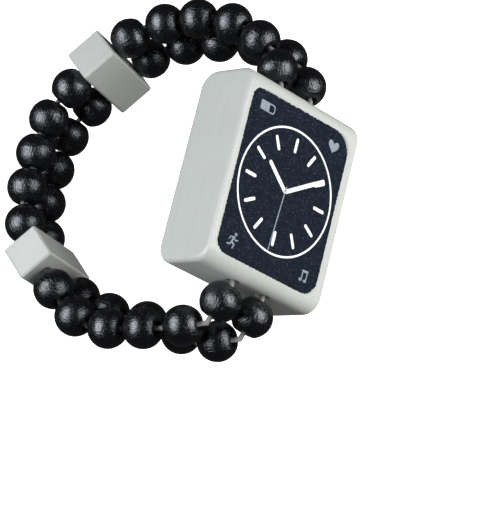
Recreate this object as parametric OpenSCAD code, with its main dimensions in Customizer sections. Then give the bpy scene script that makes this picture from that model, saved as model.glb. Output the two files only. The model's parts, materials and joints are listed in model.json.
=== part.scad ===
// Reversible wooden toy wristwatch on two strands of beads, in millimetres.
// X points to 3 o'clock, Y to 12 o'clock and Z out of the dial.
// The origin is the centre of the face that lies on the wrist.

/* [Block] */
// Width of the wooden block, from 9 to 3 o'clock
block_w = 30.6; // [26:0.2:36]
// Height of the block, from 6 to 12 o'clock
block_h = 39; // [34:0.5:46]
// Thickness of the block, from face to face
block_t = 13.8; // [11:0.2:18]
// Radius of the rounded 12 and 6 o'clock ends, seen from the side
end_round = 3.2; // [2:0.2:4]
// Rounding of the edges beside the 9 and 3 o'clock sides
edge_round = 1.2; // [0.6:0.1:1.8]
// Spacing of the two holes for the elastic
hole_spacing = 8.3; // [8.1:0.1:10]
// Depth of the holes' axes below the dial
hole_depth = 4.1; // [3:0.1:6.9]
// Countersink at each mouth of a hole
hole_ease = 0.3; // [0.1:0.05:0.5]

/* [Printed panels] */
// Wood left bare beside each dark panel
panel_margin = 1.9; // [1.6:0.1:3]
// Wood left bare above and below each dark panel
panel_end_margin = 3; // [2.8:0.1:5]
// Corner radius of each dark panel
panel_round = 3.2; // [1:0.1:5]
// Thickness of a layer of printed ink, let into the wood
ink_t = 0.06; // [0.04:0.01:0.15]

/* [Dial] */
// Sideways offset of the print on the front
dial_x = -0.35; // [-0.5:0.05:0.5]
// Offset of the print towards 12 o'clock
dial_y = -0.25; // [-0.5:0.05:0.5]
// Radius of the ring round the dial
ring_r = 12.3; // [11.5:0.05:12.6]
// Line width of the ring
ring_line = 0.45; // [0.3:0.05:0.8]
// Radius to the middle of each hour mark
mark_r = 9.4; // [8.5:0.1:10]
// Length of an hour mark
mark_len = 2.95; // [2:0.05:3.5]
// Line width of an hour mark
mark_line = 0.68; // [0.4:0.02:0.9]
// Length of the hour hand
hour_len = 7; // [5:0.1:7.5]
// Length of the minute hand
minute_len = 10.9; // [8:0.1:11.2]
// Line width of the hour and minute hands
hand_line = 0.85; // [0.5:0.05:1.1]
// Length of the seconds hand
second_len = 11.9; // [9:0.1:12]
// Line width of the seconds hand
second_line = 0.25; // [0.15:0.05:0.4]
// Distance of a corner symbol's middle from its panel's side
symbol_side_gap = 3.8; // [3:0.1:4.2]
// Distance of a corner symbol's middle from its panel's end
symbol_end_gap = 3.3; // [3:0.1:3.6]
// Height of a corner symbol
symbol_h = 2.4; // [1.6:0.1:2.6]

/* [Digits on the other face] */
// Height of a digit
digit_h = 10; // [7:0.2:12]
// Width of a digit
digit_w = 4.4; // [3.5:0.1:4.6]
// Line width of a digit
digit_line = 1.1; // [0.7:0.05:1.3]
// Gap between neighbouring digits
digit_gap = 1; // [0.6:0.05:1.2]

/* [Beads] */
// Largest diameter of a bead
bead_d = 8; // [7.4:0.1:8.1]
// Length of a bead along its hole
bead_len = 7.1; // [6.6:0.1:7.5]
// Radius of a bead's slightly domed ends
bead_dome_r = 12; // [8:1:30]
// Least gap between neighbouring beads
bead_gap = 0.12; // [0.1:0.02:0.4]

/* [Spacers] */
// Side of a spacer's square section
spacer_side = 7.8; // [7:0.1:9]
// Length of a spacer, across both strands
spacer_len = 16; // [14:0.2:18]
// Bevel along a spacer's edges
spacer_bevel = 0.35; // [0.1:0.05:0.6]

/* [Elastic] */
// Diameter of the elastic
elastic_d = 1; // [0.8:0.05:1.3]
// Play of the elastic in each hole, on the radius
elastic_play = 0.7; // [0.5:0.05:0.7]
// Play of the knot in its hole, on the radius
knot_play = 0.1; // [0.05:0.05:0.3]

/* [Strap] */
// Lean of the strap towards 9 o'clock, in degrees
strap_lean = 20; // [0:1:35]

/* [Hidden] */
overrun = 1;
hole_d = elastic_d + 2 * elastic_play;
elastic_sides = 12;
dome_sides = 144;
hole_z = block_t - hole_depth;
panel_w = block_w - 2 * panel_margin;
panel_h = block_h - 2 * panel_end_margin;
symbol_x = panel_w / 2 - symbol_side_gap;
symbol_y = panel_h / 2 - symbol_end_gap;
// How far the elastic of the end beads reaches into the block, as a share of its height
tail_share = 0.21;
tail_len = tail_share * block_h;

// The strap is a chain of links: a link is a pair of beads or one spacer.
// It starts at the block's 12 o'clock end and comes back at its 6 o'clock end.
end_pairs = 6;
side_pairs = 5;
links = 2 * end_pairs + side_pairs + 2;
first_spacer = end_pairs;
last_spacer = end_pairs + side_pairs + 1;
bead_links = [for (i = [0:links - 1]) if (i != first_spacer && i != last_spacer) i];

// Direction of each link in the strap's own plane, in degrees: 0 runs to 12 o'clock
// and 90 runs away from the block.
headings = [28, 60, 77, 98, 102, 131, 139, 144, 164, 181, 182, 207, 227, 231, 252, 271, 263,
            282, 340];
// Tilt of the pair of holes at each joint between links, and its swing to 12 o'clock
tilts = [0, 3, 5, 10, 14, 14, 16, 17, 17, 19, 22, 21, 20, 14, 3, -9, -10, -3, -3, 0];
swings = [0, 0, 2, 11, 5, 6, 3, 2, 3, 2, 2, 1, 2, -1, -16, -31, -24, -1, 1, 0];

function is_spacer(i) = i == first_spacer || i == last_spacer;
function away() = [-sin(strap_lean), 0, -cos(strap_lean)];
function way(h) = [0, cos(h), 0] + away() * sin(h);

// From the 3 o'clock strand's hole to the 9 o'clock strand's. A spacer's holes are straight and
// square to its faces. Where a joint of beads is slanted the holes stand further apart, which
// keeps the strands themselves at the same distance.
function spacer_at(j) = is_spacer(j) ? j : is_spacer(j - 1) ? j - 1 : undef;
function value_at(values, j) = let (s = spacer_at(j))
    is_undef(s) ? values[j] : (values[s] + values[s + 1]) / 2;
function slant(j) = let (t = value_at(tilts, j), w = value_at(swings, j))
    [-cos(t) * cos(w), sin(w), sin(t) * cos(w)];
function run_at(j) = let (s = spacer_at(j)) !is_undef(s) ? way(headings[s])
    : j == 0 || j == links ? [0, 1, 0] : way((headings[j - 1] + headings[j]) / 2);
function squared(v, w) = v - (v * w) * w;
function across(j) = let (u = slant(j), level = squared(u, run_at(j)))
    (is_undef(spacer_at(j)) ? u : level) * hole_spacing / norm(level);

// A bead is a ball that two large domes cut to its length. Its reach is how far it extends
// from its middle, seen at an angle to its hole: its dome, its rim or its round side.
dome_drop = bead_dome_r - bead_len / 2;
rim_z = (pow(bead_dome_r, 2) - pow(dome_drop, 2) - pow(bead_d / 2, 2)) / (2 * dome_drop);
rim_x = sqrt(pow(bead_d / 2, 2) - pow(rim_z, 2));
function bead_reach(a) = bead_dome_r * sin(a) < rim_x ? bead_dome_r - dome_drop * cos(a)
    : a < atan2(rim_x, rim_z) ? rim_x * sin(a) + rim_z * cos(a) : bead_d / 2;

// The bend from one link to its neighbour is the larger of the two strands'. A bead faces a
// spacer's flat side with the whole angle and shares it with a bead.
function strand_way(side, i) = is_spacer(i) ? way(headings[i])
    : way(headings[i]) * bead_len + side * (across(i + 1) - across(i)) / 2;
function angle(v, w) = atan2(norm(cross(v, w)), v * w);
function bend(i, n) = n < 0 || n >= links ? 0
    : max([for (side = [-1, 1]) angle(strand_way(side, i), strand_way(side, n))])
        * (is_spacer(n) ? 1 : 1 / 2);
function shift_along(i, h) = abs((across(i + 1) - across(i)) * way(h)) / 2;

// Distance from a link's middle to its joint with the neighbour n
function half_len(i, n, h) = is_spacer(i) ? (spacer_side + bead_gap + abs(across(i) * way(h))) / 2
    : let (b = bend(i, n)) (bead_reach(b) + bead_gap / 2) / cos(b) + shift_along(i, h) / 2;
function link_len(i, h) = half_len(i, i - 1, h) + half_len(i, i + 1, h);

// The first and last beads stand clear of the block's ends
function exit_gap(i, h) = let (block_side = i == 0 ? -1 : links)
    bead_gap + max(0, bead_reach(h) - half_len(i, block_side, h) * cos(h));
function opened(i, k) = 180 + (headings[i] - 180) * (1 + k[0]) + k[1];
function end_gaps(k) = exit_gap(0, opened(0, k)) + exit_gap(links - 1, opened(links - 1, k));

// The chain closes when its links lead back to the block: two small corrections of the
// headings are found by Newton's method.
function total(v, i = 0) = i == len(v) ? 0 : v[i] + total(v, i + 1);
function miss(k) = [
    total([for (i = [0:links - 1]) link_len(i, opened(i, k)) * cos(opened(i, k))]) + block_h + end_gaps(k),
    total([for (i = [0:links - 1]) link_len(i, opened(i, k)) * sin(opened(i, k))])];
function closed(k, n) = n == 0 ? k : let (
    e = 1 / 1000, m = miss(k),
    a = (miss(k + [e, 0]) - m) / e, b = (miss(k + [0, e]) - m) / e,
    d = a[0] * b[1] - a[1] * b[0])
    closed(k - [m[0] * b[1] - m[1] * b[0], a[0] * m[1] - a[1] * m[0]] / d, n - 1);
steps_to_close = 8;
fix = closed([0, 0], steps_to_close);
heading = [for (i = [0:links - 1]) opened(i, fix)];

first_joint = [0, block_h / 2 + exit_gap(0, heading[0]), hole_z];
function chained(at, i) = i == links ? [at]
    : concat([at], chained(at + link_len(i, heading[i]) * way(heading[i]), i + 1));
joints = chained(first_joint, 0);
// side is 1 on the 9 o'clock strand and -1 on the 3 o'clock strand
function joint(side, j) = joints[j] + side * across(j) / 2;
function middle(side, i) = let (f = half_len(i, i - 1, heading[i]) / link_len(i, heading[i]))
    joint(side, i) * (1 - f) + joint(side, i + 1) * f;

strands = ["nine", "three"];
function side_of(strand) = strand == "nine" ? 1 : -1;
function digits2(n) = n < 10 ? str("0", n) : str(n);
function bead_name(strand, n) = str("bead_", strand, "_", digits2(n));
function elastic_name(n) = str("elastic_", digits2(n));
pairs = len(bead_links);
$fn = 48;

wood_grey = [0.76, 0.78, 0.76];
navy = [0.11, 0.14, 0.2];
print_white = [0.95, 0.95, 0.95];
print_grey = [0.62, 0.66, 0.73];
bead_black = [0.08, 0.08, 0.08];
elastic_white = [0.92, 0.92, 0.9];

// Lays what stands along Z from the origin on the line from a to b
module along(a, b) {
    v = b - a;
    translate(a) rotate([0, acos(v[2] / norm(v)), atan2(v[1], v[0])]) children();
}

module rod(a, b, d) { along(a, b) cylinder(d = d, h = norm(b - a)); }

// A flat bar with round ends
module bar(a, b, line) {
    v = b - a;
    translate(a) rotate(atan2(v[1], v[0])) {
        translate([0, -line / 2]) square([norm(v), line]);
        circle(d = line);
        translate([norm(v), 0]) circle(d = line);
    }
}

module round_panel() {
    square([panel_w - 2 * panel_round, panel_h], center = true);
    square([panel_w, panel_h - 2 * panel_round], center = true);
    for (sx = [-1, 1], sy = [-1, 1])
        translate([sx * (panel_w / 2 - panel_round), sy * (panel_h / 2 - panel_round)])
            circle(panel_round);
}

// One roller of the block's rounded end, lying along X, with eased rims
module end_roller(y, z) {
    flat_r = end_round - edge_round;
    translate([-block_w / 2, y, z]) rotate([0, 90, 0]) rotate_extrude($fn = 32)
        intersection() {
            translate([0, block_w / 2]) offset(edge_round, $fn = 24)
                square([2 * flat_r, block_w - 2 * edge_round], center = true);
            square([end_round, block_w]);
        }
}

module block() {
    color(wood_grey) difference() {
        hull() for (sy = [-1, 1], z = [end_round, block_t - end_round])
            end_roller(sy * (block_h / 2 - end_round), z);
        for (side = [-1, 1]) translate([side * hole_spacing / 2, 0, hole_z]) {
            rotate([90, 0, 0]) cylinder(d = hole_d, h = block_h + 2 * overrun, center = true);
            for (turn = [90, -90]) rotate([turn, 0, 0])
                translate([0, 0, block_h / 2 - hole_ease])
                    cylinder(d1 = hole_d, d2 = hole_d + 2 * hole_ease, h = hole_ease);
        }
        translate([0, 0, block_t - 2 * ink_t]) linear_extrude(2 * ink_t + overrun) on_dial() round_panel();
        translate([0, 0, -overrun]) linear_extrude(ink_t + overrun) round_panel();
    }
}

module on_dial() { translate([dial_x, dial_y]) children(); }
function dial_point(r, a) = [r * sin(a), r * cos(a)];

// The hands stand at a quarter past ten, with the seconds hand just past the half minute
hour_angle = 307;
minute_angle = 58.5;
second_angle = 183.5;
marks_round = 12;

module dial_marks() {
    on_dial() {
        difference() {
            circle(ring_r + ring_line / 2);
            circle(ring_r - ring_line / 2);
        }
        for (k = [0:marks_round - 1]) {
            a = k * 360 / marks_round;
            reach = (mark_len - mark_line) / 2;
            bar(dial_point(mark_r - reach, a), dial_point(mark_r + reach, a), mark_line);
        }
        bar([0, 0], dial_point(hour_len - hand_line / 2, hour_angle), hand_line);
        bar([0, 0], dial_point(minute_len - hand_line / 2, minute_angle), hand_line);
    }
}

// The seconds hand is cut where the white hands and marks are printed over it
module second_hand() {
    difference() {
        on_dial() bar([0, 0], dial_point(second_len - second_line / 2, second_angle), second_line);
        dial_marks();
    }
}

module battery() {
    w = symbol_h * 1.6;
    h = symbol_h * 0.75;
    line = symbol_h / 8;
    difference() {
        square([w, h], center = true);
        translate([w / 4, 0]) square([w / 2 - 2 * line, h - 2 * line], center = true);
    }
    translate([w / 2 + line / 2, 0]) square([line, h / 2], center = true);
}

module heart() {
    r = symbol_h / 3.6;
    for (s = [-1, 1]) translate([s * r * 0.9, r * 0.7]) circle(r);
    polygon([[-1.72 * r, 0.15 * r], [0, -1.85 * r], [1.72 * r, 0.15 * r], [0, r]]);
}

// A striding figure, as points in shares of the symbol's height
figure_shares = [[[0.05, 0.22], [-0.08, -0.1]], [[-0.08, -0.1], [0.16, -0.25]],
                 [[0.16, -0.25], [0.08, -0.48]], [[-0.08, -0.1], [-0.2, -0.3]],
                 [[-0.2, -0.3], [-0.42, -0.34]], [[0.05, 0.2], [0.24, 0.04]],
                 [[0.24, 0.04], [0.4, 0.12]], [[0.02, 0.22], [-0.24, 0.18]],
                 [[-0.24, 0.18], [-0.34, -0.02]]];
module figure() {
    limb = symbol_h / 9;
    for (p = figure_shares) bar(p[0] * symbol_h, p[1] * symbol_h, limb);
    translate([symbol_h / 7, symbol_h * 0.42]) circle(symbol_h / 9);
}

module note() {
    stem = symbol_h / 9;
    w = symbol_h * 0.5;
    top = symbol_h * 0.45;
    low = -symbol_h * 0.32;
    for (x = [-w / 2, w / 2]) {
        bar([x, low], [x, top], stem);
        bar([x - 2 * stem, low], [x - stem / 2, low], 2 * stem);
    }
    bar([-w / 2, top], [w / 2, top], 2 * stem);
}

module symbols() {
    difference() {
        union() {
            translate([-symbol_x, symbol_y]) battery();
            translate([symbol_x, symbol_y]) heart();
            translate([-symbol_x, -symbol_y]) figure();
            translate([symbol_x, -symbol_y]) note();
        }
        dial_marks();
    }
}

// The front is printed in two layers, which fill its pocket: the panel, and the marks over it
module front_layer(n) {
    translate([0, 0, block_t - n * ink_t]) linear_extrude(ink_t) intersection() {
        on_dial() round_panel();
        children();
    }
}

module front_panel() { color(navy) front_layer(2) on_dial() round_panel(); }

module front_marks() { color(print_white) front_layer(1) dial_marks(); }

module front_symbols() {
    color(print_grey) front_layer(1) union() {
        second_hand();
        symbols();
    }
}

// A digit of seven bars: which bars are lit, from the top clockwise and the middle last
digit_bars = [[1, 1, 1, 1, 1, 1, 0], [0, 1, 1, 0, 0, 0, 0], [1, 1, 0, 1, 1, 0, 1],
              [1, 1, 1, 1, 0, 0, 1], [0, 1, 1, 0, 0, 1, 1], [1, 0, 1, 1, 0, 1, 1],
              [1, 0, 1, 1, 1, 1, 1], [1, 1, 1, 0, 0, 0, 0], [1, 1, 1, 1, 1, 1, 1],
              [1, 1, 1, 1, 0, 1, 1]];
module digit(n) {
    x = (digit_w - digit_line) / 2;
    y = (digit_h - digit_line) / 2;
    ends = [[[-x, y], [x, y]], [[x, y], [x, 0]], [[x, 0], [x, -y]], [[x, -y], [-x, -y]],
            [[-x, -y], [-x, 0]], [[-x, 0], [-x, y]], [[-x, 0], [x, 0]]];
    for (k = [0:6]) if (digit_bars[n][k] == 1) bar(ends[k][0], ends[k][1], digit_line);
}

shown_digits = [0, 8, 3, 0];
module digit_row() {
    step = digit_w + digit_gap;
    for (k = [0:3]) {
        off_middle = k - 3 / 2;
        colon_room = (k < 2 ? -1 : 1) * digit_gap / 2;
        translate([off_middle * step + colon_room, 0]) digit(shown_digits[k]);
    }
    for (y = [-1, 1]) translate([0, y * digit_h / 6]) circle(d = digit_line);
    bar_y = digit_h;
    reach = panel_w * 0.32;
    bar([-reach, -bar_y], [reach, -bar_y], digit_line / 2);
    bar([-reach, bar_y], [reach, bar_y], digit_line / 2);
}

module back_panel() {
    color(navy) linear_extrude(ink_t) difference() {
        round_panel();
        mirror([1, 0]) digit_row();
    }
}

module back_digits() {
    color(print_white) linear_extrude(ink_t) intersection() {
        round_panel();
        mirror([1, 0]) digit_row();
    }
}

// Each strand is tied inside its hole in the block, where the knot doesn't show
module elastic_knots() {
    run = block_h - 2 * tail_len;
    knot_d = hole_d - 2 * knot_play;
    color(elastic_white) for (side = [-1, 1])
        translate([side * hole_spacing / 2, 0, hole_z]) rotate([90, 0, 0]) {
            cylinder(d = elastic_d, h = run, center = true);
            for (s = [-1, 1]) translate([0, 0, s * knot_d / 4]) sphere(d = knot_d);
        }
}

// A bead lies along Z about its own middle
module bead_form() {
    rotate_extrude() difference() {
        intersection() {
            translate([0, -dome_drop]) circle(bead_dome_r, $fn = dome_sides);
            translate([0, dome_drop]) circle(bead_dome_r, $fn = dome_sides);
            circle(d = bead_d);
        }
        translate([-bead_d, -bead_len]) square([bead_d + hole_d / 2, 2 * bead_len]);
    }
}

module bead(strand, n) {
    i = bead_links[n - 1];
    side = side_of(strand);
    color(bead_black) along(middle(side, i), joint(side, i + 1)) bead_form();
}

module spacer_form() {
    b = 2 * spacer_bevel;
    hull() {
        cube([spacer_len, spacer_side - b, spacer_side - b], center = true);
        cube([spacer_len - b, spacer_side, spacer_side - b], center = true);
        cube([spacer_len - b, spacer_side - b, spacer_side], center = true);
    }
}

// A spacer's holes run along the chain and its length lies across both strands
module spacer(i) {
    run = joints[i + 1] - joints[i];
    z = unit(run);
    x = -unit(squared(across(i), z));
    y = cross(z, x);
    m = (joints[i] + joints[i + 1]) / 2;
    color(wood_grey) difference() {
        multmatrix([[x[0], y[0], z[0], m[0]], [x[1], y[1], z[1], m[1]], [x[2], y[2], z[2], m[2]]])
            spacer_form();
        for (side = [-1, 1]) {
            v = joint(side, i + 1) - joint(side, i);
            rod(joint(side, i) - v / 4, joint(side, i + 1) + v / 4, hole_d);
        }
    }
}

// The elastic of one pair: through half its beads and on to the middle of the next link.
// It is swept along its points, with a mitre where it bends.
function unit(v) = v / norm(v);
function ring_about(c, d) = let (x = unit(cross(d, [1, 0, 0])), y = cross(d, x))
    [for (k = [0:elastic_sides - 1]) let (a = k * 360 / elastic_sides)
        c + elastic_d / 2 * (x * cos(a) + y * sin(a))];
function swept(points, ring, k = 0) = k == len(points) - 1 ? ring : let (
    d = unit(points[k + 1] - points[k]),
    m = k + 2 < len(points) ? d + unit(points[k + 2] - points[k + 1]) : d)
    concat(ring, swept(points, [for (p = ring) p + d * ((points[k + 1] - p) * m) / (d * m)], k + 1));
module elastic_run(points) {
    n = elastic_sides;
    last = len(points) - 1;
    polyhedron(swept(points, ring_about(points[0], unit(points[1] - points[0]))), concat(
        [[for (k = [0:n - 1]) k], [for (k = [n - 1:-1:0]) last * n + k]],
        [for (row = [0:last - 1]) for (k = [0:n - 1]) let (next = (k + 1) % n)
            [row * n + k, (row + 1) * n + k, (row + 1) * n + next, row * n + next]]));
}

function tail_point(side, end) = [-side * hole_spacing / 2, end * (block_h / 2 - tail_len), hole_z];
function elastic_start(side, i) =
    i == 0 ? [tail_point(side, 1), joint(side, 0)]
    : is_spacer(i - 1) ? [middle(side, i - 1), joint(side, i)] : [middle(side, i)];
function elastic_end(side, i) =
    i == links - 1 ? [joint(side, links), tail_point(side, -1)]
    : [joint(side, i + 1), middle(side, i + 1)];

module elastic(n) {
    i = bead_links[n - 1];
    color(elastic_white) for (side = [-1, 1])
        elastic_run(concat(elastic_start(side, i), elastic_end(side, i)));
}

block();
front_panel();
front_marks();
front_symbols();
back_panel();
back_digits();
elastic_knots();
spacer(first_spacer);  // spacer_upper
spacer(last_spacer);  // spacer_lower
for (strand = strands, n = [1:pairs]) bead(strand, n);
for (n = [1:pairs]) elastic(n);
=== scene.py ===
import json
import math

import bmesh
import bpy
from mathutils import Matrix, Vector, noise


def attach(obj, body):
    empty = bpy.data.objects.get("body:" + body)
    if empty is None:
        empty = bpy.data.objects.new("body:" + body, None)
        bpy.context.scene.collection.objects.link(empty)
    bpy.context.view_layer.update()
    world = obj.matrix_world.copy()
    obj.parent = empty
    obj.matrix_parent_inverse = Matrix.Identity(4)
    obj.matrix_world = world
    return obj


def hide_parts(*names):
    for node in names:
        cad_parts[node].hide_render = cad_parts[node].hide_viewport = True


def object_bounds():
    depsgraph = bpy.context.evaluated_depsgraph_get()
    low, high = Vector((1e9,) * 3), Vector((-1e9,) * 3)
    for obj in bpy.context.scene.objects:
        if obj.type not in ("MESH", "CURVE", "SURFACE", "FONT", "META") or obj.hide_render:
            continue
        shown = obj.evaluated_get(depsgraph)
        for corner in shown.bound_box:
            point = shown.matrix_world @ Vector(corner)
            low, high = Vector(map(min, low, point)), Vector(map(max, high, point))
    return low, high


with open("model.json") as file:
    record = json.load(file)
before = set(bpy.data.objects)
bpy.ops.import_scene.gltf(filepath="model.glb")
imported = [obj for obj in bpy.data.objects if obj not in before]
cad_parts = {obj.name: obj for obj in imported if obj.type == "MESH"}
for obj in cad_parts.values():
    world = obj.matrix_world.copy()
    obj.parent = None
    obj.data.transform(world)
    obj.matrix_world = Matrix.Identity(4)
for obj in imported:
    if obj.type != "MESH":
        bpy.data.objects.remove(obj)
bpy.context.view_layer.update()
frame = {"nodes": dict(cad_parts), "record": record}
nodes = frame["nodes"]
behaviour = frame["record"]["behaviour"]
mm = 0.001
tiny = 1e-9

# Which body each CAD node rides on
nodeBody = {}
for bodyName, bodyNodes in behaviour["bodies"].items():
    for nodeName in bodyNodes:
        nodeBody[nodeName] = bodyName


def newMaterial(name, roughness, specular):
    material = bpy.data.materials.new(name)
    material.use_nodes = True
    tree = material.node_tree
    shader = tree.nodes["Principled BSDF"]
    shader.inputs["Roughness"].default_value = roughness
    shader.inputs["Specular IOR Level"].default_value = specular
    return material, tree, shader


def addNode(tree, kind, **values):
    node = tree.nodes.new(kind)
    for key, value in values.items():
        if key in node.inputs:
            node.inputs[key].default_value = value
        else:
            setattr(node, key, value)
    return node


def stretched(tree, vector, stretch, turn=(0, 0, 0)):
    mapping = addNode(tree, "ShaderNodeMapping", Scale=stretch, Rotation=turn)
    tree.links.new(vector, mapping.inputs["Vector"])
    return mapping.outputs["Vector"]


def objectPlace(tree):
    return addNode(tree, "ShaderNodeTexCoord").outputs["Object"]


def noisePattern(tree, vector, scale, detail, roughness=0.5):
    pattern = addNode(tree, "ShaderNodeTexNoise", Scale=scale, Detail=detail, Roughness=roughness)
    tree.links.new(vector, pattern.inputs["Vector"])
    return pattern.outputs["Fac"]


def ramp(tree, value, stops):
    node = addNode(tree, "ShaderNodeValToRGB")
    for element, (place, colour) in zip(node.color_ramp.elements, stops):
        element.position = place
        element.color = (*colour, 1)
    tree.links.new(value, node.inputs["Fac"])
    return node.outputs["Color"]


def grey(level):
    return (level, level, level)


def fade(tree, value, start, end, most, least=0):
    # A pattern that is at its least up to start and at its most from end on
    return ramp(tree, value, [(start, grey(least)), (end, grey(most))])


def blendColours(tree, factor, first, second):
    node = addNode(tree, "ShaderNodeMix", data_type="RGBA")
    for socket, value in ((0, factor), (6, first), (7, second)):
        if isinstance(value, bpy.types.NodeSocket):
            tree.links.new(value, node.inputs[socket])
        else:
            node.inputs[socket].default_value = (*value, 1)
    return node.outputs[2]


def addBumps(tree, shader, heights):
    # Each height comes with its strength and its depth in metres
    normal = None
    for height, (strength, distance) in heights:
        bump = addNode(tree, "ShaderNodeBump", Strength=strength, Distance=distance)
        tree.links.new(height, bump.inputs["Height"])
        if normal:
            tree.links.new(normal, bump.inputs["Normal"])
        normal = bump.outputs["Normal"]
    tree.links.new(normal, shader.inputs["Normal"])


paintSettings = {
    "light": (0.555, 0.575, 0.555),
    "shade": (0.49, 0.505, 0.49),
    "fleck": (0.40, 0.41, 0.39),
    "roughness": 0.33,
    "specular": 0.5,
    "grainStretch": (900, 60, 900),  # close across the grain, long with it
    "grainNoise": (1.0, 4.0, 0.6),  # scale, detail and roughness
    "cloudNoise": (110, 3.0),
    "fleckNoise": (2600, 2.0, 0.7),
    "cloudFade": (0.3, 0.7, 0.45),  # where it starts, where it ends and the most it shows
    "grainFade": (0.50, 0.75, 0.6),
    "fleckFade": (0.60, 0.74, 0.5),
    "grainBump": (0.12, 0.0001),
    "fleckBump": (0.20, 0.00008),
    "cloudBump": (0.10, 0.0003),
}


def paintedWood(name, grainTurn, depth):
    # Thin grey paint, through which the wood's grain shows as faint long lines
    s = paintSettings
    light, shade, fleckColour = (tuple(c * depth for c in s[key]) for key in ("light", "shade", "fleck"))
    material, tree, shader = newMaterial(name, s["roughness"], s["specular"])
    place = objectPlace(tree)
    turn = (0, 0, math.radians(grainTurn))
    grain = noisePattern(tree, stretched(tree, place, s["grainStretch"], turn), *s["grainNoise"])
    cloud = noisePattern(tree, place, *s["cloudNoise"])
    fleck = noisePattern(tree, place, *s["fleckNoise"])
    base = blendColours(tree, fade(tree, cloud, *s["cloudFade"]), light, shade)
    lined = blendColours(tree, fade(tree, grain, *s["grainFade"]), base, shade)
    flecked = blendColours(tree, fade(tree, fleck, *s["fleckFade"]), lined, fleckColour)
    tree.links.new(flecked, shader.inputs["Base Color"])
    addBumps(tree, shader, [(grain, s["grainBump"]), (fleck, s["fleckBump"]), (cloud, s["cloudBump"])])
    return material


stainSettings = {
    "dark": (0.0010, 0.0010, 0.0014),
    "worn": (0.0050, 0.0053, 0.0070),
    "sheen": (0.88, 0.93, 1.0),
    "glossy": 0.12,  # roughness between the pores
    "dull": 0.34,  # and in them
    "specular": 1.0,
    "lineStretch": (1, 1, 0.10),
    "lineNoise": (2500, 2.0),
    "poreStretch": (1, 1, 0.45),
    "poreNoise": (3000, 3.0, 0.6),
    "broadNoise": (260, 2.0),
    "patchNoise": (330, 1.0),
    "wornFade": (0.5, 0.72, 0.8),
    "glossFade": (0.38, 0.60),
    "lineFade": (0.40, 0.52, 1),
    "patchFade": (0.42, 0.60, 1, 0.15),
    "broadBump": (0.4, 0.0003),
    "lineBump": (0.6, 0.00005),
    "poreBump": (0.9, 0.00011),
}


def stainedWood():
    # Black stain on turned wood: pores and fine lines along the grain, which runs with the hole,
    # break the gloss into small sparkles
    s = stainSettings
    material, tree, shader = newMaterial("blackStainedWood", s["dull"], s["specular"])
    place = addNode(tree, "ShaderNodeAttribute", attribute_name="beadPlace").outputs["Vector"]
    lines = noisePattern(tree, stretched(tree, place, s["lineStretch"]), *s["lineNoise"])
    pores = noisePattern(tree, stretched(tree, place, s["poreStretch"]), *s["poreNoise"])
    broad = noisePattern(tree, place, *s["broadNoise"])
    patches = noisePattern(tree, place, *s["patchNoise"])
    worn = blendColours(tree, fade(tree, pores, *s["wornFade"]), s["dark"], s["worn"])
    tree.links.new(worn, shader.inputs["Base Color"])
    gloss = fade(tree, pores, *s["glossFade"], s["glossy"], s["dull"])
    tree.links.new(gloss, shader.inputs["Roughness"])
    shader.inputs["Specular Tint"].default_value = (*s["sheen"], 1)
    # Some parts of a bead show their lines more than others
    lineHeight = blendColours(tree, fade(tree, patches, *s["patchFade"]), grey(0.5),
                              fade(tree, lines, *s["lineFade"]))
    addBumps(tree, shader, [(broad, s["broadBump"]), (lineHeight, s["lineBump"]), (pores, s["poreBump"])])
    return material


inkSettings = {
    "navy": (0.0018, 0.0054, 0.0138),
    "navyBare": (0.045, 0.066, 0.090),
    "white": (0.95, 0.955, 0.96),
    "whiteBare": (0.70, 0.73, 0.76),
    "grey": (0.25, 0.29, 0.345),
    "greyBare": (0.04, 0.055, 0.08),
    "specular": 0.2,
    "speckNoise": (3000, 3.0, 0.75),
    "speckFade": (0.55, 0.70),
    "speckBump": (0.2, 0.00005),
    "cloudNoise": (320, 2.0),
    "cloudFade": (0.3, 0.7, 0.5),
    "cloudPaler": 1.35,
}


def printedInk(name, colour, bareShare, roughness):
    # Ink on wood: fine specks of another tone where it didn't take
    s = inkSettings
    material, tree, shader = newMaterial(name, roughness, s["specular"])
    place = objectPlace(tree)
    speck = noisePattern(tree, place, *s["speckNoise"])
    cloud = noisePattern(tree, place, *s["cloudNoise"])
    ink = s[colour]
    paler = tuple(c * s["cloudPaler"] for c in ink)
    mottled = blendColours(tree, fade(tree, cloud, *s["cloudFade"]), ink, paler)
    specked = blendColours(tree, fade(tree, speck, *s["speckFade"], bareShare), mottled, s[colour + "Bare"])
    tree.links.new(specked, shader.inputs["Base Color"])
    addBumps(tree, shader, [(speck, s["speckBump"])])
    return material


cordSettings = {
    # The cord is white: both tones are dimmed to grey as painted shade for the gaps between the beads where
    # it shows, and the noise between them is its own uneven tone
    "dark": (0.22, 0.22, 0.215),
    "pale": (0.30, 0.30, 0.295),
    "roughness": 0.6,
    "specular": 0.4,
    "cloudNoise": (1200, 2.0),
    "cloudFrom": 0.3,
    "cloudTo": 0.7,
    "cloudBump": (0.3, 0.0001),
    "smoothAngle": 60,
}


def elasticCord():
    s = cordSettings
    material, tree, shader = newMaterial("whiteElasticPaintedShade", s["roughness"], s["specular"])
    cloud = noisePattern(tree, objectPlace(tree), *s["cloudNoise"])
    # Painted shade: the white cord's colour is dimmed to dark grey
    colour = ramp(tree, cloud, [(s["cloudFrom"], s["dark"]), (s["cloudTo"], s["pale"])])
    tree.links.new(colour, shader.inputs["Base Color"])
    addBumps(tree, shader, [(cloud, s["cloudBump"])])
    return material


blockPaint = paintedWood("greyPaintBlock", 0, 1)
spacerPaint = paintedWood("greyPaintSpacer", 90, 0.88)
beadStain = stainedWood()
navyInk = printedInk("navyInk", "navy", 1.0, 0.8)
whiteInk = printedInk("whiteInk", "white", 0.4, 0.55)
greyInk = printedInk("greyInk", "grey", 1.0, 0.55)
cordMaterial = elasticCord()
print("materials ready")


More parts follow.
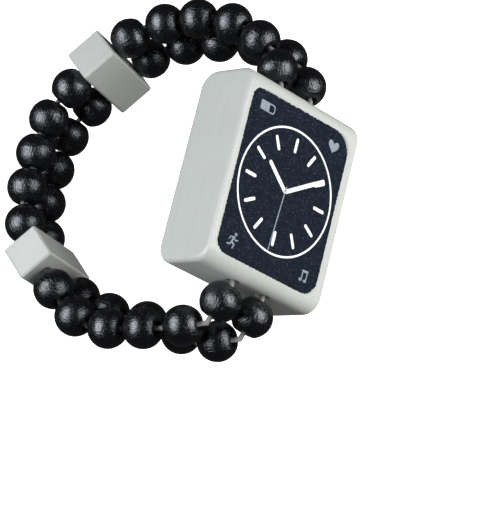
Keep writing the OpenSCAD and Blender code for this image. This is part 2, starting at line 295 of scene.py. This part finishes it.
def finishPiece(name, shape, material, body, replaced, smoothAngle):
    for edge in shape.edges:
        if len(edge.link_faces) == 2:
            edge.smooth = edge.calc_face_angle(0) < math.radians(smoothAngle)
    for face in shape.faces:
        face.smooth = True
    mesh = bpy.data.meshes.new(name)
    shape.to_mesh(mesh)
    shape.free()
    piece = bpy.data.objects.new(name, mesh)
    bpy.context.scene.collection.objects.link(piece)
    mesh.materials.append(material)
    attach(piece, body)
    if replaced:
        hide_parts(*replaced)
    return piece


mergeSettings = {"distance": 0.002, "flatAngle": 0.5}


def mergedCopy(nodeName):
    # A CAD node's mesh is loose triangles, so its copy is merged and its flat faces joined
    s = mergeSettings
    shape = bmesh.new()
    shape.from_mesh(nodes[nodeName].data)
    bmesh.ops.remove_doubles(shape, verts=shape.verts, dist=s["distance"] * mm)
    bmesh.ops.dissolve_limit(shape, angle_limit=math.radians(s["flatAngle"]), verts=shape.verts,
                             edges=shape.edges)
    return shape


beadSettings = {
    "radius": 4.0,
    "halfLength": 3.55,
    "domeRadius": 12.0,
    "domeSteps": 3,
    "rimRound": 0.3,
    "rimSteps": 4,
    "ballSteps": 12,
    "boreRadius": 1.2,
    "mouthEase": 0.2,
    "stepsAround": 56,
    "mergeDistance": 0.003,
    "dent": 0.05,
    "dentScale": 0.35,
    "dentFrom": 1.5,  # the hole's wall inside this radius stays round
    "seedStep": (7.3, 3.1, 0),
    "turnStep": 1.7,
    "smoothAngle": 50,
}


def beadProfile():
    # A ball that two large domes cut to its length, with a rounded rim between them
    s = beadSettings
    drop = s["domeRadius"] - s["halfLength"]
    rimZ = (s["domeRadius"] ** 2 - drop ** 2 - s["radius"] ** 2) / (2 * drop)
    rimX = math.sqrt(s["radius"] ** 2 - rimZ ** 2)

    def onDome(x):
        return (x, math.sqrt(s["domeRadius"] ** 2 - x ** 2) - drop)

    def onBall(angle):
        return (s["radius"] * math.cos(angle), s["radius"] * math.sin(angle))

    mouth = s["boreRadius"] + s["mouthEase"]
    rimStart = onDome(rimX - s["rimRound"])
    rimEnd = onBall(math.atan2(rimZ, rimX) - s["rimRound"] / s["radius"])
    points = [(s["boreRadius"], onDome(mouth)[1] - s["mouthEase"])]
    domeSteps = s["domeSteps"]
    points += [onDome(mouth + (rimStart[0] - mouth) * k / domeSteps) for k in range(domeSteps + 1)]
    for k in range(1, s["rimSteps"]):
        t = k / s["rimSteps"]
        points.append(tuple((1 - t) ** 2 * p + 2 * t * (1 - t) * q + t ** 2 * r
                            for p, q, r in zip(rimStart, (rimX, rimZ), rimEnd)))
    top = math.atan2(rimEnd[1], rimEnd[0])
    ballSteps = s["ballSteps"]
    points += [onBall(top * (ballSteps - k) / ballSteps) for k in range(ballSteps + 1)]
    return points + [(r, -z) for r, z in reversed(points[:-1])]


def makeBead(jointRecord, number):
    s = beadSettings
    nodeName = jointRecord["child"]
    shape = bmesh.new()
    ring = [shape.verts.new((r * mm, 0, z * mm)) for r, z in beadProfile()]
    edges = [shape.edges.new((a, b)) for a, b in zip(ring, ring[1:] + ring[:1])]
    bmesh.ops.spin(shape, geom=ring + edges, cent=(0, 0, 0), axis=(0, 0, 1), dvec=(0, 0, 0),
                   angle=math.radians(360), steps=s["stepsAround"], use_merge=True)
    bmesh.ops.remove_doubles(shape, verts=shape.verts, dist=s["mergeDistance"] * mm)
    bmesh.ops.recalc_face_normals(shape, faces=shape.faces)
    # Turned beads aren't quite alike: shallow dents, and each lies at its own turn
    seed = Vector([number * step for step in s["seedStep"]])
    for vert in shape.verts:
        outward = Vector((vert.co.x, vert.co.y, 0))
        if outward.length > s["dentFrom"] * mm:
            wave = 0.5 + 0.5 * noise.noise(vert.co / mm * s["dentScale"] + seed)
            vert.co -= outward.normalized() * wave * s["dent"] * mm
    place = shape.verts.layers.float_vector.new("beadPlace")
    for vert in shape.verts:
        vert[place] = vert.co + seed * mm
    stand = Vector(jointRecord["axis"]).normalized().to_track_quat("Z", "X").to_matrix().to_4x4()
    turn = Matrix.Rotation(number * s["turnStep"], 4, "Z")
    move = Matrix.Translation(Vector(jointRecord["pos_m"]))
    bmesh.ops.transform(shape, verts=shape.verts, matrix=move @ stand @ turn)
    finishPiece(nodeName + "_turned", shape, beadStain, nodeName, [nodeName],
                s["smoothAngle"])


beadJoints = [j for j in behaviour["joints"] if j["child"].startswith("bead_")]
for number, jointRecord in enumerate(beadJoints, 1):
    makeBead(jointRecord, number)
print("beads ready:", len(beadJoints))

# The block keeps its CAD shape, merged so that its roundings shade smoothly
blockSettings = {
    "halfWidth": 15.3,
    "rounding": 1.2,
    "tightened": 0.3,  # share of the long edges' rounding that is left
    "endStart": 16.3,
    "endRounding": 3.2,
    "smoothAngle": 30,
}


def makeBlock():
    # The faces were sanded flat, which leaves their long edges tight, and the corners stay round
    s = blockSettings
    shape = mergedCopy("block")
    for vert in shape.verts:
        inset = s["halfWidth"] * mm - abs(vert.co.x)
        if inset < s["rounding"] * mm:
            towardsEnd = min(max((abs(vert.co.y) / mm - s["endStart"]) / s["endRounding"], 0), 1)
            share = s["tightened"] + (1 - s["tightened"]) * towardsEnd
            vert.co.x = math.copysign(s["halfWidth"] * mm - inset * share, vert.co.x)
    finishPiece("block_painted", shape, blockPaint, "block", ["block"], s["smoothAngle"])


makeBlock()

spacerSettings = {"edge": 0.12, "edgeSteps": 2, "edgeAngle": 30, "smoothAngle": 25}


def makeSpacer(nodeName):
    s = spacerSettings
    piece = finishPiece(nodeName + "_painted", mergedCopy(nodeName), spacerPaint, nodeName,
                        [nodeName], s["smoothAngle"])
    soften = piece.modifiers.new("eased edges", "BEVEL")
    soften.width = s["edge"] * mm
    soften.segments = s["edgeSteps"]
    soften.limit_method = "ANGLE"
    soften.angle_limit = math.radians(s["edgeAngle"])


for spacerName in ("spacer_upper", "spacer_lower"):
    makeSpacer(spacerName)
print("block and spacers ready")

for nodeName in sorted(nodes):
    if nodeName.startswith("elastic"):
        finishPiece(nodeName + "_cord", mergedCopy(nodeName), cordMaterial, nodeBody[nodeName],
                    [nodeName], cordSettings["smoothAngle"])
print("elastic ready")

printSettings = {
    "front": 13.8,  # height of the front face
    "proud": 0.02,  # each layer of ink stands a little over the one below
    "thickness": 0.05,
    "stagger": 0.001,  # between drawings of one layer that lie over each other
    "staggered": 7,
    "smoothAngle": 30,
    "grainSize": 0.42,  # of the unevenness along an outline
    "waveShare": 0.5,
    "waveScale": 2.7,
    "halvings": 9,
    "fineStep": 0.16,
    "fineFrom": 0.1,  # outlines more uneven than this get the fine step
    "coarseStep": 0.3,
    "cornerSteps": 10,
    "barSteps": 20,
    "whiteUneven": 0.035,
    "greyUneven": 0.03,
    "hubUneven": 0.01,
    "gapUneven": 0.02,
}


def roughenOutline(shape, amount):
    # The print soaks into the wood a little, so its outline is uneven
    s = printSettings
    step = s["fineStep"] if amount > s["fineFrom"] else s["coarseStep"]
    for _ in range(s["halvings"]):
        long = [e for e in shape.edges if e.is_boundary and e.calc_length() > step * mm]
        if not long:
            break
        bmesh.ops.subdivide_edges(shape, edges=long, cuts=1)
    moves = {}
    for vert in [v for v in shape.verts if v.is_boundary]:
        corner = next(c for c in vert.link_loops if c.edge.is_boundary)
        along = (corner.link_loop_next.vert.co - corner.link_loop_prev.vert.co).normalized()
        across = Vector((-along.y, along.x, 0))
        place = vert.co / mm / s["grainSize"]
        wave = noise.noise(place) + s["waveShare"] * noise.noise(place * s["waveScale"])
        moves[vert] = across * wave * amount * mm
    for vert, move in moves.items():
        vert.co += move


def inkSheet(shape, top):
    # A flat outline becomes a thin closed sheet with its top at the given height
    bmesh.ops.recalc_face_normals(shape, faces=shape.faces)
    made = bmesh.ops.extrude_face_region(shape, geom=list(shape.faces))
    raised = [v for v in made["geom"] if isinstance(v, bmesh.types.BMVert)]
    for vert in shape.verts:
        vert.co.z = (top - printSettings["thickness"]) * mm
    for vert in raised:
        vert.co.z = top * mm
    bmesh.ops.recalc_face_normals(shape, faces=shape.faces)


def moveTo(shape, verts, place):
    bmesh.ops.translate(shape, verts=verts, vec=(place[0] * mm, place[1] * mm, 0))


def roundPanel(shape, width, height, corners):
    # The corners are those at 10, 2, 4 and 8 o'clock
    made = bmesh.ops.create_grid(shape, x_segments=1, y_segments=1, size=0.5)
    bmesh.ops.scale(shape, vec=(width * mm, height * mm, 1), verts=made["verts"])
    for radius, (sx, sy) in zip(corners, ((-1, 1), (1, 1), (1, -1), (-1, -1))):
        square = Vector((sx * width / 2 * mm, sy * height / 2 * mm, 0))
        corner = min(shape.verts, key=lambda v: (v.co - square).length)
        bmesh.ops.bevel(shape, geom=[corner], offset=radius * mm, offset_type="OFFSET", affect="VERTICES",
                        segments=printSettings["cornerSteps"], profile=0.5, material=-1)


def bar(shape, start, end, line):
    # A flat bar with round ends, from a circle whose halves are drawn apart
    made = bmesh.ops.create_circle(shape, cap_ends=True, radius=line / 2 * mm,
                                   segments=printSettings["barSteps"])
    run = Vector((end[0] - start[0], end[1] - start[1], 0))
    half = run.length / 2 * mm
    for vert in made["verts"]:
        if abs(vert.co.x) > tiny:
            vert.co.x += math.copysign(half, vert.co.x)
    middle = Vector(((start[0] + end[0]) / 2, (start[1] + end[1]) / 2, 0)) * mm
    place = Matrix.Translation(middle) @ Matrix.Rotation(math.atan2(run.y, run.x), 4, "Z")
    bmesh.ops.transform(shape, verts=made["verts"], matrix=place)


def barDrawing(start, end, line):
    return lambda shape: bar(shape, start, end, line)


def disc(shape, place, radius, segments):
    made = bmesh.ops.create_circle(shape, cap_ends=True, radius=radius * mm, segments=segments)
    moveTo(shape, made["verts"], place)
    return made["verts"]


def hoop(shape, place, outerRadius, line, segments):
    disc(shape, place, outerRadius, segments)
    bmesh.ops.inset_region(shape, faces=list(shape.faces), thickness=line * mm, use_boundary=True,
                           use_even_offset=True)
    inner = max(shape.faces, key=lambda f: f.calc_area())
    bmesh.ops.delete(shape, geom=[inner], context="FACES")


def printLayer(name, drawings, material, replaced, layer, uneven, onBack=False):
    # Each drawing is roughened and thickened alone, so that overlapping ones stay closed
    s = printSettings
    whole = bmesh.new()
    for order, draw in enumerate(drawings):
        shape = bmesh.new()
        draw(shape)
        roughenOutline(shape, uneven)
        inkSheet(shape, s["front"] + s["proud"] * layer - s["stagger"] * (order % s["staggered"]))
        if onBack:
            turn = Matrix.Translation((0, 0, s["front"] * mm)) @ Matrix.Rotation(math.pi, 4, "Y")
            bmesh.ops.transform(shape, verts=shape.verts, matrix=turn)
        part = bpy.data.meshes.new("part")
        shape.to_mesh(part)
        shape.free()
        whole.from_mesh(part)
        bpy.data.meshes.remove(part)
    finishPiece(name, whole, material, "block", replaced, s["smoothAngle"])


panelSettings = {
    "width": 26.9,
    "height": 33.1,
    "frontCorners": (2.0, 4.4, 3.8, 2.6),
    "backCorners": (3.4, 3.0, 3.6, 2.8),
    "uneven": 0.19,
    "dropped": 0.35,  # how far the front's 10 o'clock corner was printed low, and out
    "drawnOut": 0.12,
}

dialSettings = {
    "centre": (-0.35, -0.25),
    "ringRadius": 12.3,
    "ringLine": 0.38,
    "ringSteps": 160,
    "marks": 12,
    "markRadius": 9.4,
    "markLength": 2.95,
    "markLine": 0.68,
    "handLine": 0.85,
    "hourHand": (7.0, 307),  # length and angle
    "minuteHand": (10.9, 57.6),
    "secondHand": (11.9, 183.5),
    "secondTail": (1.1, 3.5),
    "secondLine": 0.25,
    "hubRadius": 0.42,
    "hubLine": 0.16,
    "hubSteps": 24,
}


def frontPanel(shape):
    s = panelSettings
    roundPanel(shape, s["width"], s["height"], s["frontCorners"])
    for vert in shape.verts:
        if vert.co.x < 0 < vert.co.y:
            vert.co.y -= s["dropped"] * mm * (-vert.co.x / mm * 2 / s["width"])
            vert.co.x -= s["drawnOut"] * mm * (vert.co.y / mm * 2 / s["height"])
    moveTo(shape, shape.verts, dialSettings["centre"])


def backPanel(shape):
    s = panelSettings
    roundPanel(shape, s["width"], s["height"], s["backCorners"])


def dialPoint(radius, angle):
    x, y = dialSettings["centre"]
    a = math.radians(angle)
    return (x + radius * math.sin(a), y + radius * math.cos(a))


def dialRing(shape):
    s = dialSettings
    hoop(shape, s["centre"], s["ringRadius"] + s["ringLine"] / 2, s["ringLine"], s["ringSteps"])


def hubRing(shape):
    s = dialSettings
    hoop(shape, s["centre"], s["hubRadius"], s["hubLine"], s["hubSteps"])


def hand(handName, lineName):
    length, angle = dialSettings[handName]
    line = dialSettings[lineName]
    return barDrawing(dialPoint(0, 0), dialPoint(length - line / 2, angle), line)


def hourMark(k):
    s = dialSettings
    reach = (s["markLength"] - s["markLine"]) / 2
    angle = 360 / s["marks"] * k
    return barDrawing(dialPoint(s["markRadius"] - reach, angle), dialPoint(s["markRadius"] + reach, angle),
                      s["markLine"])


batterySettings = {
    "place": (-9.6, 13.2),
    "height": 2.4,
    "bodyShares": (1.6, 0.78),
    "bodyCorners": (0.3, 0.6, 0.6, 0.3),
    "gapShares": (0.52, 0.56),
    "gapCorners": (0.1, 0.4, 0.4, 0.1),
    "gapShift": 0.43,
}


def batteryBody(shape):
    s = batterySettings
    wide, high = s["bodyShares"]
    roundPanel(shape, s["height"] * wide, s["height"] * high, s["bodyCorners"])
    moveTo(shape, shape.verts, s["place"])


def batteryGap(shape):
    s = batterySettings
    wide, high = s["gapShares"]
    x, y = s["place"]
    roundPanel(shape, s["height"] * wide, s["height"] * high, s["gapCorners"])
    moveTo(shape, shape.verts, (x + s["height"] * s["gapShift"], y))


heartSettings = {
    "place": (9.0, 13.0),
    "height": 2.4,
    "steps": 60,
    "halfWidth": 16,  # the curve's own units, of which 27 by 29 make the heart's size
    "fullness": 2.2,
    "waves": (13, -5, -2, -1),
    "unitsWide": 27,
    "unitsHigh": 29,
}


def heart(shape):
    s = heartSettings
    verts = disc(shape, (0, 0), 1, s["steps"])
    for vert in verts:
        t = math.atan2(vert.co.y, vert.co.x) + math.pi / 2
        x = math.copysign(s["halfWidth"] * abs(math.sin(t)) ** s["fullness"], math.sin(t))
        y = sum(wave * math.cos(turns * t) for turns, wave in enumerate(s["waves"], 1))
        vert.co = Vector((x / s["unitsWide"] * s["height"] * mm, y / s["unitsHigh"] * s["height"] * mm, 0))
    moveTo(shape, verts, s["place"])


# Each stroke is its start, its end and its thickness, in shares of the symbol's height
figureSettings = {
    "place": (-10.05, -13.7),
    "height": 2.95,
    "head": (0.42, 1.24),
    "headRadius": 0.33,
    "headSteps": 20,
    "strokes": [((0.05, 0.22), (-0.08, -0.1), 0.15), ((-0.08, -0.1), (0.16, -0.25), 0.11),
                ((0.16, -0.25), (0.08, -0.48), 0.1), ((-0.08, -0.1), (-0.2, -0.3), 0.11),
                ((-0.2, -0.3), (-0.42, -0.34), 0.1), ((0.05, 0.2), (0.24, 0.04), 0.09),
                ((0.24, 0.04), (0.4, 0.12), 0.08), ((0.02, 0.22), (-0.24, 0.18), 0.09),
                ((-0.24, 0.18), (-0.34, -0.02), 0.08)],
}

noteSettings = {
    "place": (9.5, -13.55),
    "height": 2.4,
    "strokes": [((-0.25, -0.32), (-0.25, 0.42), 0.1), ((0.25, -0.32), (0.25, 0.42), 0.1),
                ((-0.25, 0.38), (0.25, 0.42), 0.2), ((-0.42, -0.36), (-0.32, -0.34), 0.24),
                ((0.08, -0.36), (0.18, -0.34), 0.24)],
}


def strokeDrawings(settings):
    x, y = settings["place"]
    h = settings["height"]
    return [barDrawing((x + a[0] * h, y + a[1] * h), (x + b[0] * h, y + b[1] * h), line * h)
            for a, b, line in settings["strokes"]]


def figureHead(shape):
    s = figureSettings
    disc(shape, (s["place"][0] + s["head"][0], s["place"][1] + s["head"][1]), s["headRadius"], s["headSteps"])


dialDrawings = [dialRing] + [hourMark(k) for k in range(dialSettings["marks"])]
dialDrawings += [hand("hourHand", "handLine"), hand("minuteHand", "handLine")]
symbolDrawings = [batteryBody, heart] + strokeDrawings(figureSettings) + [figureHead]
symbolDrawings += strokeDrawings(noteSettings) + [hand("secondHand", "secondLine")]
hubDrawings = [hubRing, hand("secondTail", "secondLine")]

printLayer("front_panel_print", [frontPanel], navyInk, ["front_panel"], 1,
           panelSettings["uneven"])
printLayer("dial_print", dialDrawings, whiteInk, ["front_marks"], 2,
           printSettings["whiteUneven"])
printLayer("symbols_print", symbolDrawings, greyInk, ["front_symbols"], 2,
           printSettings["greyUneven"])
printLayer("hub_print", hubDrawings, greyInk, [], 3, printSettings["hubUneven"])
printLayer("battery_gap_print", [batteryGap], navyInk, [], 3, printSettings["gapUneven"])

digitSettings = {
    "digits": (0, 8, 3, 0),
    "height": 10.0,
    "width": 4.4,
    "line": 1.1,
    "gap": 1.0,
    "dotShare": 1 / 6,
    "dotSteps": 24,
    "ruleReach": 8.4,
    "rulePlace": 10.0,
}
litBars = [(1, 1, 1, 1, 1, 1, 0), (0, 1, 1, 0, 0, 0, 0), (1, 1, 0, 1, 1, 0, 1), (1, 1, 1, 1, 0, 0, 1),
           (0, 1, 1, 0, 0, 1, 1), (1, 0, 1, 1, 0, 1, 1), (1, 0, 1, 1, 1, 1, 1), (1, 1, 1, 0, 0, 0, 0),
           (1, 1, 1, 1, 1, 1, 1), (1, 1, 1, 1, 0, 1, 1)]


def digitDrawings():
    s = digitSettings
    x, y = (s["width"] - s["line"]) / 2, (s["height"] - s["line"]) / 2
    # The seven bars: clockwise from the top, then the middle one
    ends = [((-x, y), (x, y)), ((x, y), (x, 0)), ((x, 0), (x, -y)), ((x, -y), (-x, -y)), ((-x, -y), (-x, 0)),
            ((-x, 0), (-x, y)), ((-x, 0), (x, 0))]
    drawings = []
    for k, digit in enumerate(s["digits"]):
        # The hours and the minutes stand one more gap apart, with the two dots between them
        middle = (k - 1.5) * (s["width"] + s["gap"]) + (-1 if k < 2 else 1) * s["gap"] / 2
        drawings += [barDrawing((a[0] + middle, a[1]), (b[0] + middle, b[1]), s["line"])
                     for lit, (a, b) in zip(litBars[digit], ends) if lit]
    for side in (-1, 1):
        dot = (0, side * s["height"] * s["dotShare"])
        drawings.append(lambda shape, dot=dot: disc(shape, dot, s["line"] / 2, s["dotSteps"]))
        rule = side * s["rulePlace"]
        drawings.append(barDrawing((-s["ruleReach"], rule), (s["ruleReach"], rule), s["line"] / 2))
    return drawings


printLayer("back_panel_print", [backPanel], navyInk, ["back_panel"], 1,
           panelSettings["uneven"], True)
printLayer("back_digits_print", digitDrawings(), whiteInk, ["back_digits"], 2,
           printSettings["whiteUneven"], True)
print("prints ready")

stageSettings = {
    "floorSize": 6.0,
    "floorColour": (0.93, 0.93, 0.93),
    "floorGlow": 0.85,
    "floorDrop": 0.25,
    "backdropColour": (0, 0, 0),
    "backdropGlow": 0.93,
    "backdropRadius": 3.0,
    "backdropSteps": (48, 24),
    "roughness": 0.9,
    "specular": 0.1,
    "skyStrength": 0.04,
}


def stagePiece(name, shape, colour, glow):
    # The floor and the backdrop glow evenly, and neither lights the watch nor shows in its gloss
    mesh = bpy.data.meshes.new(name)
    shape.to_mesh(mesh)
    shape.free()
    piece = bpy.data.objects.new(name, mesh)
    bpy.context.scene.collection.objects.link(piece)
    material, tree, shader = newMaterial(name, stageSettings["roughness"], stageSettings["specular"])
    shader.inputs["Base Color"].default_value = (*colour, 1)
    shader.inputs["Emission Color"].default_value = (1, 1, 1, 1)
    shader.inputs["Emission Strength"].default_value = glow
    mesh.materials.append(material)
    piece.visible_glossy = False
    piece.visible_diffuse = False
    return piece


def makeStage():
    s = stageSettings
    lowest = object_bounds()[0].z
    floorShape = bmesh.new()
    bmesh.ops.create_grid(floorShape, x_segments=1, y_segments=1, size=s["floorSize"] / 2)
    bmesh.ops.translate(floorShape, verts=floorShape.verts, vec=(0, 0, lowest - s["floorDrop"]))
    stagePiece("floor", floorShape, s["floorColour"], s["floorGlow"])
    backdropShape = bmesh.new()
    around, upwards = s["backdropSteps"]
    bmesh.ops.create_uvsphere(backdropShape, u_segments=around, v_segments=upwards,
                              radius=s["backdropRadius"])
    bmesh.ops.reverse_faces(backdropShape, faces=backdropShape.faces)
    backdrop = stagePiece("backdrop", backdropShape, s["backdropColour"], s["backdropGlow"])
    backdrop.visible_shadow = False
    world = bpy.data.worlds.new("studio")
    world.use_nodes = True
    background = world.node_tree.nodes["Background"]
    background.inputs["Color"].default_value = (1, 1, 1, 1)
    background.inputs["Strength"].default_value = s["skyStrength"]
    bpy.context.scene.world = world
    bpy.context.scene.view_settings.view_transform = "Standard"


makeStage()

cameraSettings = {
    "lens": 173.1,
    "sensorWidth": 36,
    "clipStart": 0.01,
    "place": (-0.30066, -0.14123, 0.3477),
    "right": (0.6849, 0.2323, 0.6907),
    "up": (-0.3546, 0.9343, 0.0373),
    "back": (-0.6366, -0.2704, 0.7222),
}

lampDistance = 0.5  # from the block
lamps = {  # towards is the direction from the block as the camera sees it: right, up, back
    "softboxLeft": {"towards": (-0.80, 0.14, 0.60), "size": (0.30, 0.46), "power": 3.0,
                    "colour": (0.95, 0.98, 1.0), "inGloss": True},
    "softboxRight": {"towards": (0.78, 0.14, 0.62), "size": (0.29, 0.42), "power": 2.45,
                     "colour": (1.0, 0.995, 0.98), "inGloss": True},
    "softboxFar": {"towards": (0.94, -0.14, -0.30), "size": (0.60, 0.60), "power": 2.3,
                   "colour": (1.0, 0.995, 0.98), "inGloss": False},
    "fill": {"towards": (0.50, -0.25, 0.82), "size": (0.80, 0.80), "power": 0.7,
             "colour": (1.0, 1.0, 0.99), "inGloss": False},
}


def placeHolder(name, data, place, x, y, z):
    # A camera or a lamp looks along its own -Z
    holder = bpy.data.objects.new(name, data)
    holder.matrix_world = Matrix.Translation(place) @ Matrix((x, y, z)).transposed().to_4x4()
    bpy.context.scene.collection.objects.link(holder)
    return holder


right, up, back = (Vector(cameraSettings[key]).normalized() for key in ("right", "up", "back"))
cameraData = bpy.data.cameras.new("camera")
cameraData.lens = cameraSettings["lens"]
cameraData.sensor_width = cameraSettings["sensorWidth"]
cameraData.clip_start = cameraSettings["clipStart"]
camera = placeHolder("camera", cameraData, Vector(cameraSettings["place"]), right, up, back)
bpy.context.scene.camera = camera

for name, s in lamps.items():
    lamp = bpy.data.lights.new(name, "AREA")
    lamp.shape = "RECTANGLE"
    lamp.size, lamp.size_y = s["size"]
    lamp.energy = s["power"]
    lamp.color = s["colour"]
    across, above, nearer = s["towards"]
    towards = (right * across + up * above + back * nearer).normalized()
    level = (up - towards * up.dot(towards)).normalized()
    holder = placeHolder(name, lamp, towards * lampDistance, level.cross(towards), level, towards)
    holder.visible_glossy = s["inGloss"]
print("studio ready")
